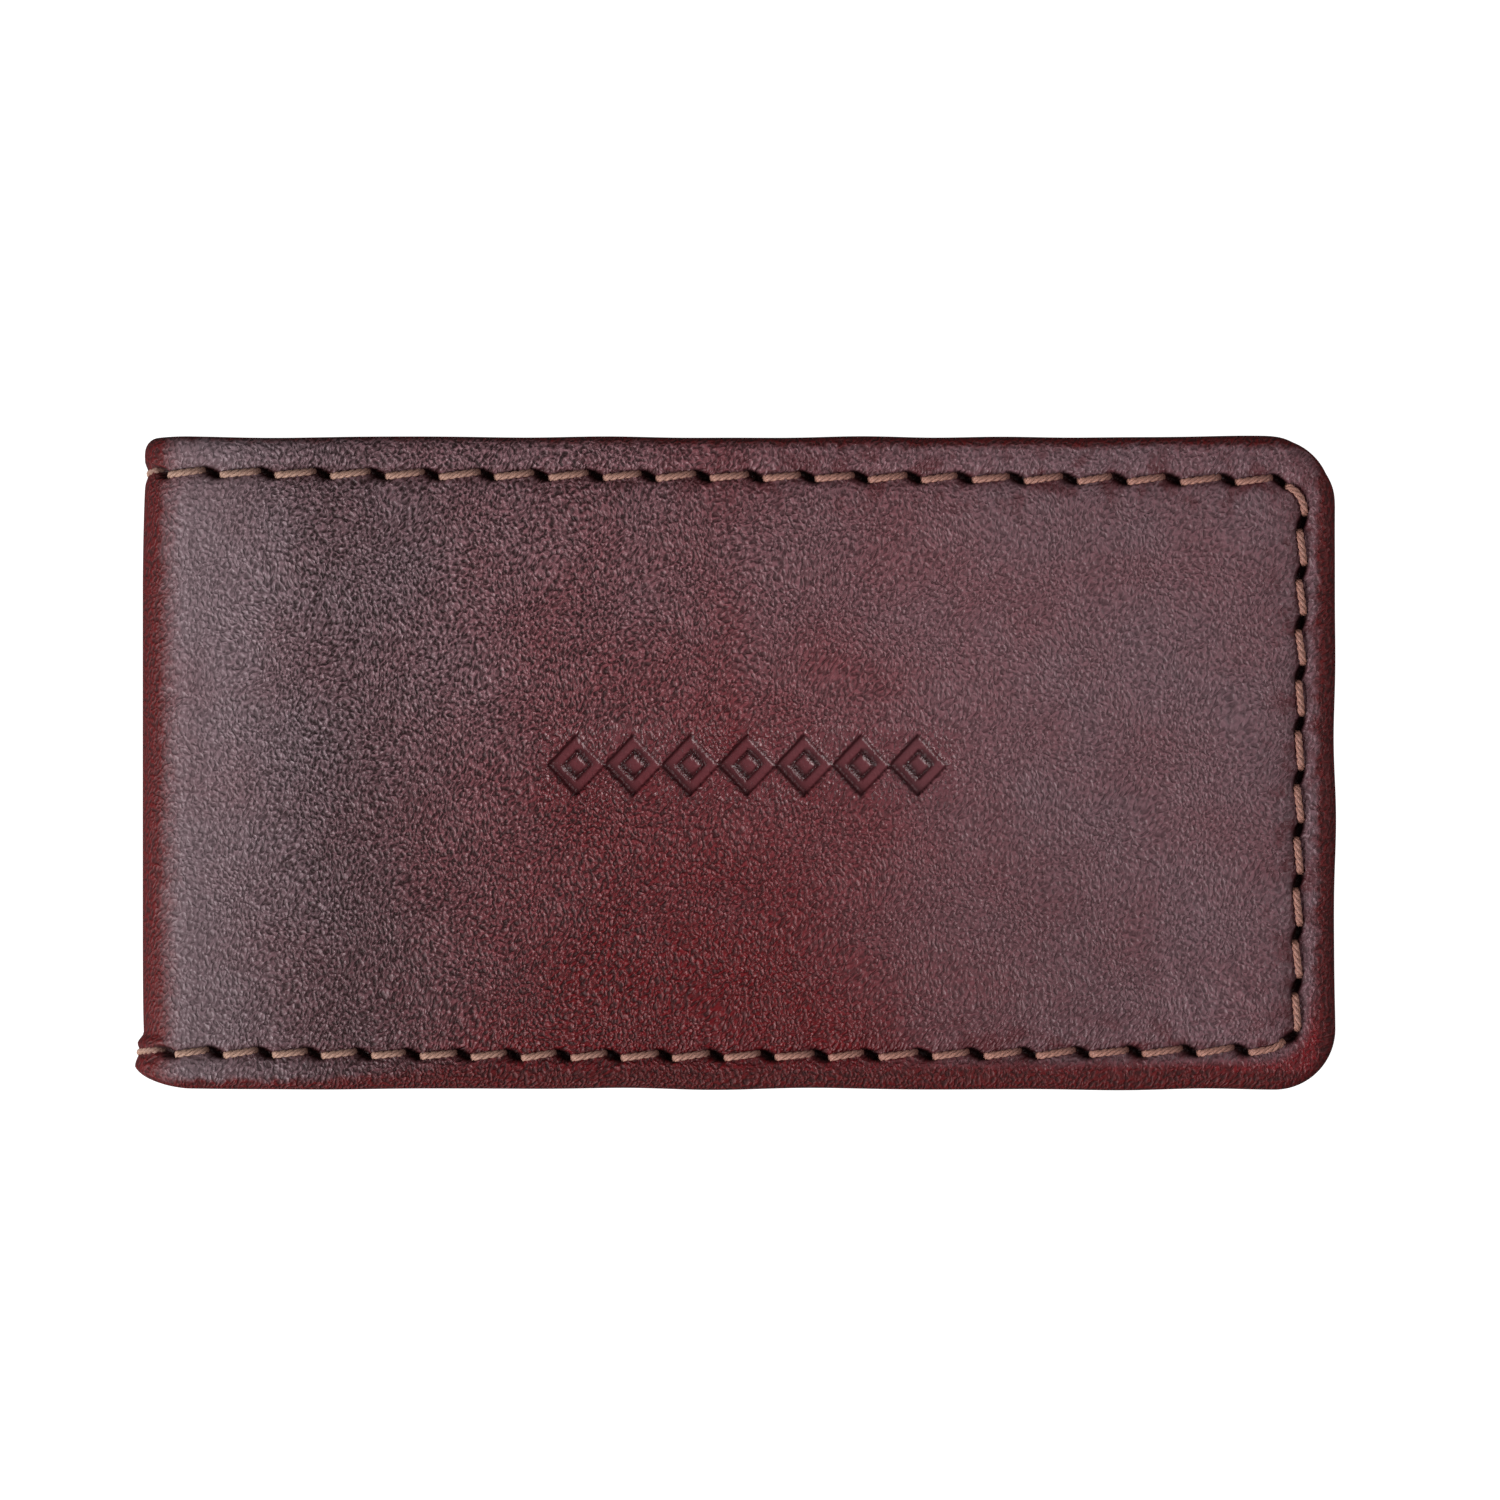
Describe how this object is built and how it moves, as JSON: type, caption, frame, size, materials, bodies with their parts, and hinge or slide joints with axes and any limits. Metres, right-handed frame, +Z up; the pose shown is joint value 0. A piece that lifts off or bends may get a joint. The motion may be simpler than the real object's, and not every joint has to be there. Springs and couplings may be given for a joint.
{
  "type": "business card case",
  "caption": "Folding leather business card case: two padded covers with a stitched border on a soft leather spine, card pockets inside and hidden magnets that hold it shut.",
  "frame": {"origin": "middle of the underside, with the case closed and lying on its back cover", "axes": "+X from the spine to the free end, +Y across the case, +Z up out of the front cover"},
  "size_m": [0.11, 0.0602, 0.0098],
  "materials": {
    "outer_leather": "satin",
    "lining_leather": "matte",
    "pocket_leather": "satin",
    "thread": "matte",
    "foam": "matte",
    "backing": "matte",
    "board": "matte",
    "magnet": "polished"
  },
  "bodies": {
    "back_cover": {"back_cover_leather": "outer_leather", "back_foam_pad": "foam", "back_stiffener_board": "board", "back_upper_magnet": "magnet", "back_lower_magnet": "magnet", "back_lining": "lining_leather", "back_pocket_welt_upper": "pocket_leather", "back_pocket_welt_lower": "pocket_leather", "back_pocket_welt_end": "pocket_leather", "back_pocket_panel": "pocket_leather", "back_needle_thread": "thread", "back_bobbin_thread": "thread"},
    "spine": {"spine_leather": "outer_leather", "spine_reinforcement": "backing", "spine_lining": "lining_leather", "spine_needle_thread": "thread", "spine_bobbin_thread": "thread"},
    "front_cover": {"front_cover_leather": "outer_leather", "front_foam_pad": "foam", "front_stiffener_board": "board", "front_upper_magnet": "magnet", "front_lower_magnet": "magnet", "front_lining": "lining_leather", "front_pocket_welt_upper": "pocket_leather", "front_pocket_welt_lower": "pocket_leather", "front_pocket_welt_end": "pocket_leather", "front_pocket_panel": "pocket_leather", "front_needle_thread": "thread", "front_bobbin_thread": "thread"}
  },
  "joints": [
    {"name": "back_fold", "type": "hinge", "parent": "back_cover", "child": "spine", "pos_m": [-0.05334, 0, 0.00192], "axis": [0, -1, 0], "range_deg": [0, 90]},
    {"name": "front_fold", "type": "hinge", "parent": "spine", "child": "front_cover", "pos_m": [-0.05334, 0, 0.00788], "axis": [0, -1, 0], "range_deg": [0, 90]}
  ],
  "couplings": [
    {"joint": "front_fold", "follows": "back_fold", "ratio": 1}
  ]
}
